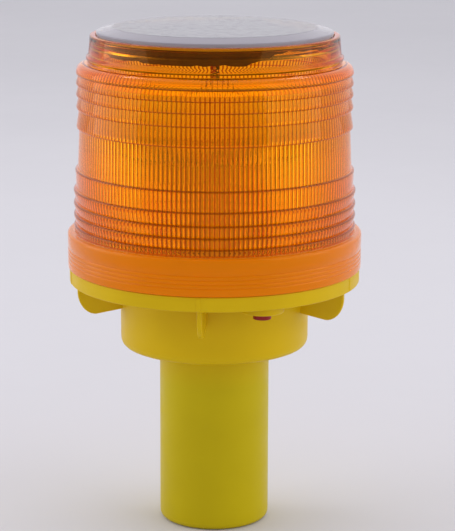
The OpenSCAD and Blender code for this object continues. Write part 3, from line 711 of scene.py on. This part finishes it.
def amber_lens():
    """The whole amber moulding: lens rings outside, upright flutes and the skirt's thread inside."""
    outer = lens_outer()
    outline = outer + lens_inner()
    flute_top = NECK_Z - 15
    flute_foot = LEDGE_Z + 0.7

    def shape(i, angle, r, z):
        if i < len(outer):
            return r, z
        if flute_foot < z < flute_top and r < DRUM_IN_R + 0.05:
            across = (angle * FLUTES / (2 * math.pi)) % 1.0
            r -= FLUTE_DEPTH * math.sin(math.pi * across) ** 0.5
        elif r > SKIRT_IN_R - 0.01 and z > SKIRT_Z + 0.6:
            r -= thread_rise(angle, z, THREAD_Z + THREAD_PITCH / 2, 1.4)
        return r, z

    segments = FLUTES * FLUTE_STEPS
    lens = revolve("drum_lens", outline, segments, closed=True, shape=shape, sharp_angle=42)
    # Marks the rings' steps for the painted shade on them.
    steps = lens.data.attributes.new("steps", "FLOAT", "POINT")
    steps.data.foreach_set("value", [mark for r, z in outline for mark in [on_step(r, z)] * segments])
    return lens


def clear_cover():
    """Clear round cover with a bevel round its raised flat top."""
    rim = COVER_Z + COVER_RIM_T
    outline = rounded([
        (0, COVER_Z, 0), (COVER_R, COVER_Z, 0.2), (COVER_R, rim, 0.6),
        (COVER_FLAT_R, rim + COVER_RISE, 0.8), (COVER_FLAT_R - 0.8, rim + COVER_RISE, 0.2),
        (0, rim + COVER_RISE, 0)], 5)
    return revolve("clear_cover", outline, 256)


def sealant_ring():
    """Hand-laid sealant under the cover: a thin ring, and a lumpy bead inside it, thick on one side."""
    low = ADHESIVE_Z - SEALANT_DROP
    outline = rounded([
        (SEALANT_IN_R, low + 1, 0), (SEALANT_IN_R, low, 0.8), (SEALANT_R, low, 0.5),
        (SEALANT_R, ADHESIVE_Z + 0.05, 0.1), (COVER_R - 0.1, ADHESIVE_Z + 0.05, 0.1),
        (COVER_R - 0.1, COVER_Z - 0.04, 0.1), (SEALANT_IN_R, COVER_Z - 0.04, 0.1),
        (SEALANT_IN_R, low + 1, 0)], 3)[:-1]

    def shape(i, angle, r, z):
        away = abs((angle - SEALANT_HEAVY + math.pi) % (2 * math.pi) - math.pi)
        heavy = min(1.0, max(0.0, (SEALANT_SPAN - away) / SEALANT_FADE))
        wave = 0.5 * math.sin(9 * angle) + 0.3 * math.sin(23 * angle + 1) + 0.2 * math.sin(57 * angle + 2)
        full = min(1.0, max(0.06, 0.2 + 0.8 * heavy + 0.14 * wave))
        if z < ADHESIVE_Z:
            z = ADHESIVE_Z - (ADHESIVE_Z - z) * full
        if r < SEALANT_R - 0.4:
            r += (1 - full) * 1.2
        return r, z

    return revolve("sealant_ring", outline, 480, closed=True, shape=shape)


# ---- Stage, lights and camera ----

def studio():
    """Pale floor, with a low curve up at its far rim."""
    outline = [(0, 0), (900, 0), (2400, 0), (3600, 0)] + arc(3600, 400, 400, 400, -90, -60, 4)[1:]
    sweep = revolve("studio_floor", outline, 96)
    finish = Finish("studio_paper")
    finish.link(finish.blend(finish.noise(2.5, 3), (0.68, 0.675, 0.71), (0.7, 0.695, 0.73)), "Base Color")
    finish.link(finish.spread(finish.noise(40, 3), 0.75, 0.9), "Roughness")
    finish.set(Specular_IOR_Level=0.2)
    sweep.data.materials.append(finish.material)


def soft_light(name, at, size, power):
    """A rectangular soft box that faces the middle of the object."""
    aim = Vector((0, 0, 0.1))
    light = bpy.data.lights.new(name, "AREA")
    light.shape = "RECTANGLE"
    light.size, light.size_y = size
    light.energy = power
    light.color = SOFT_WHITE
    box = bpy.data.objects.new(name, light)
    bpy.context.scene.collection.objects.link(box)
    box.location = at
    box.rotation_euler = (aim - Vector(at)).to_track_quat("-Z", "Y").to_euler()
    box.visible_camera = False


def surroundings():
    """A light tent: white behind and at the sides, dimmer on the open side in front."""
    world = bpy.data.worlds.new("light_tent")
    world.use_nodes = True
    tree = world.node_tree
    direction = tree.nodes.new("ShaderNodeTexCoord").outputs["Generated"]
    parts = tree.nodes.new("ShaderNodeSeparateXYZ")
    tree.links.new(direction, parts.inputs["Vector"])
    fade = tree.nodes.new("ShaderNodeMapRange")
    fade.interpolation_type = "SMOOTHSTEP"
    fade.inputs["From Min"].default_value = -0.8
    fade.inputs["From Max"].default_value = 0.25
    tree.links.new(parts.outputs["Y"], fade.inputs["Value"])
    colour = tree.nodes.new("ShaderNodeMix")
    colour.data_type = "RGBA"
    colour.inputs["A"].default_value = (0.46, 0.44, 0.44, 1)
    colour.inputs["B"].default_value = (0.92, 0.915, 0.96, 1)
    tree.links.new(fade.outputs["Result"], colour.inputs["Factor"])
    tree.links.new(colour.outputs["Result"], tree.nodes["Background"].inputs["Color"])
    bpy.context.scene.world = world


def lights():
    """Soft boxes at both sides and a long narrow one high behind."""
    bpy.context.scene.view_settings.view_transform = "Standard"
    soft_light("left_box", (-1.2, 0.05, 0.6), (1.3, 1.0), 4.2)
    soft_light("right_box", (1.13, -0.4, 0.6), (1.3, 1.0), 4.2)
    soft_light("high_box", (0, 0.5, 1.0), (1.2, 0.12), 1.8)


def camera():
    """Camera at the photograph's angle: a long lens, a little above the light."""
    distance = 0.703
    height = 0.249
    tilt_down = 12.75
    turn_right = 0.365
    roll = 0.2
    eye = bpy.data.cameras.new("camera")
    eye.lens = 141.4
    eye.sensor_width = 36
    holder = bpy.data.objects.new("camera", eye)
    bpy.context.scene.collection.objects.link(holder)
    holder.location = (0, -distance, height)
    turn = Matrix.Rotation(math.radians(-turn_right), 4, "Z")
    tilt = Matrix.Rotation(math.radians(90 - tilt_down), 4, "X")
    spin = Matrix.Rotation(math.radians(roll), 4, "Z")
    holder.matrix_world = Matrix.Translation(holder.location) @ turn @ tilt @ spin
    bpy.context.scene.camera = holder


# ---- Assembly ----

finishes = {
    "housing_plastic": yellow_plastic("yellow_plastic"),
    "lens_plastic": amber_plastic("amber_plastic"),
    "cover_plastic": cover_plastic("clear_plastic"),
    "black_plastic": plastic("black_plastic", (0.02, 0.02, 0.022), 0.5, 0.3),
    "white_plastic": plastic("white_plastic", (0.82, 0.81, 0.78), 0.45, 0.04),
    "button_plastic": plastic("red_plastic", (0.3, 0.01, 0.006), 0.4, 0.12, gloss=0.3),
    "cell_wrap": plastic("green_sleeve", (0.03, 0.2, 0.06), 0.25, 0.1),
    "contact_metal": metal("nickel", (0.62, 0.6, 0.57), 0.25),
    "screw_metal": metal("zinc", (0.6, 0.61, 0.63), 0.32),
    "pin_metal": metal("tinned_brass", (0.72, 0.62, 0.42), 0.3),
    "green_board": plastic("green_board", (0.012, 0.12, 0.045), 0.35, 0.15),
    "white_board": plastic("white_board", (0.8, 0.8, 0.77), 0.35, 0.04),
    "chip_black": plastic("chip_epoxy", (0.015, 0.015, 0.017), 0.55, 0.2),
    "capacitor_sleeve": plastic("capacitor_sleeve", (0.015, 0.02, 0.08), 0.25, 0.15),
    "ferrite": plastic("ferrite", (0.045, 0.04, 0.038), 0.7, 0.25),
    "resistor_body": plastic("resistor_lacquer", (0.5, 0.36, 0.2), 0.35, 0.12),
    "wire_red": plastic("red_insulation", (0.5, 0.012, 0.01), 0.4, 0.1),
    "wire_black": plastic("black_insulation", (0.015, 0.015, 0.015), 0.4, 0.2),
    "lamp_epoxy": lamp_plastic("lamp_epoxy"),
    "gasket_rubber": rubber("gasket_rubber", (0.02, 0.018, 0.016)),
    "adhesive": rubber("sealant", (0.05, 0.025, 0.01), 0.35),
    "solar_board_black": plastic("panel_laminate", (0.012, 0.014, 0.02), 0.25, 0.3),
    "solar_cell": solar_silicon("solar_silicon"),
    "ribbon_metal": metal("tinned_copper", (0.75, 0.7, 0.62), 0.3),
}

for entry in frame["record"]["subparts"]:
    solid = frame["nodes"][entry["node"]]
    solid.data.materials.clear()
    solid.data.materials.append(finishes[entry["material_slot"]])


def finish_piece(piece, slot, body, node):
    """Gives a piece its material and body, and hides the solid that it stands for."""
    piece.data.materials.clear()
    piece.data.materials.append(finishes[slot])
    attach(piece, body)
    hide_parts(node)


wings = [grip_wing(f"grip_wing_{i + 1}", WING_PHASE + 360 / WING_COUNT * i) for i in range(WING_COUNT)]
finish_piece(base_shell(), "housing_plastic", "base", "base_housing")
for wing in wings:
    finish_piece(wing, "housing_plastic", "base", "base_housing")
finish_piece(switch_boss(), "housing_plastic", "base", "base_housing")
finish_piece(inner_posts(), "housing_plastic", "base", "base_housing")
finish_piece(push_button(), "button_plastic", "button", "switch_button")
spring = return_spring()
spring.data.materials.append(finishes["contact_metal"])
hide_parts("switch_spring")
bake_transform(spring)
finish_piece(amber_lens(), "lens_plastic", "head", "amber_lens")
finish_piece(clear_cover(), "cover_plastic", "head", "top_cover")
finish_piece(sealant_ring(), "adhesive", "head", "cover_adhesive")

studio()
surroundings()
lights()
camera()
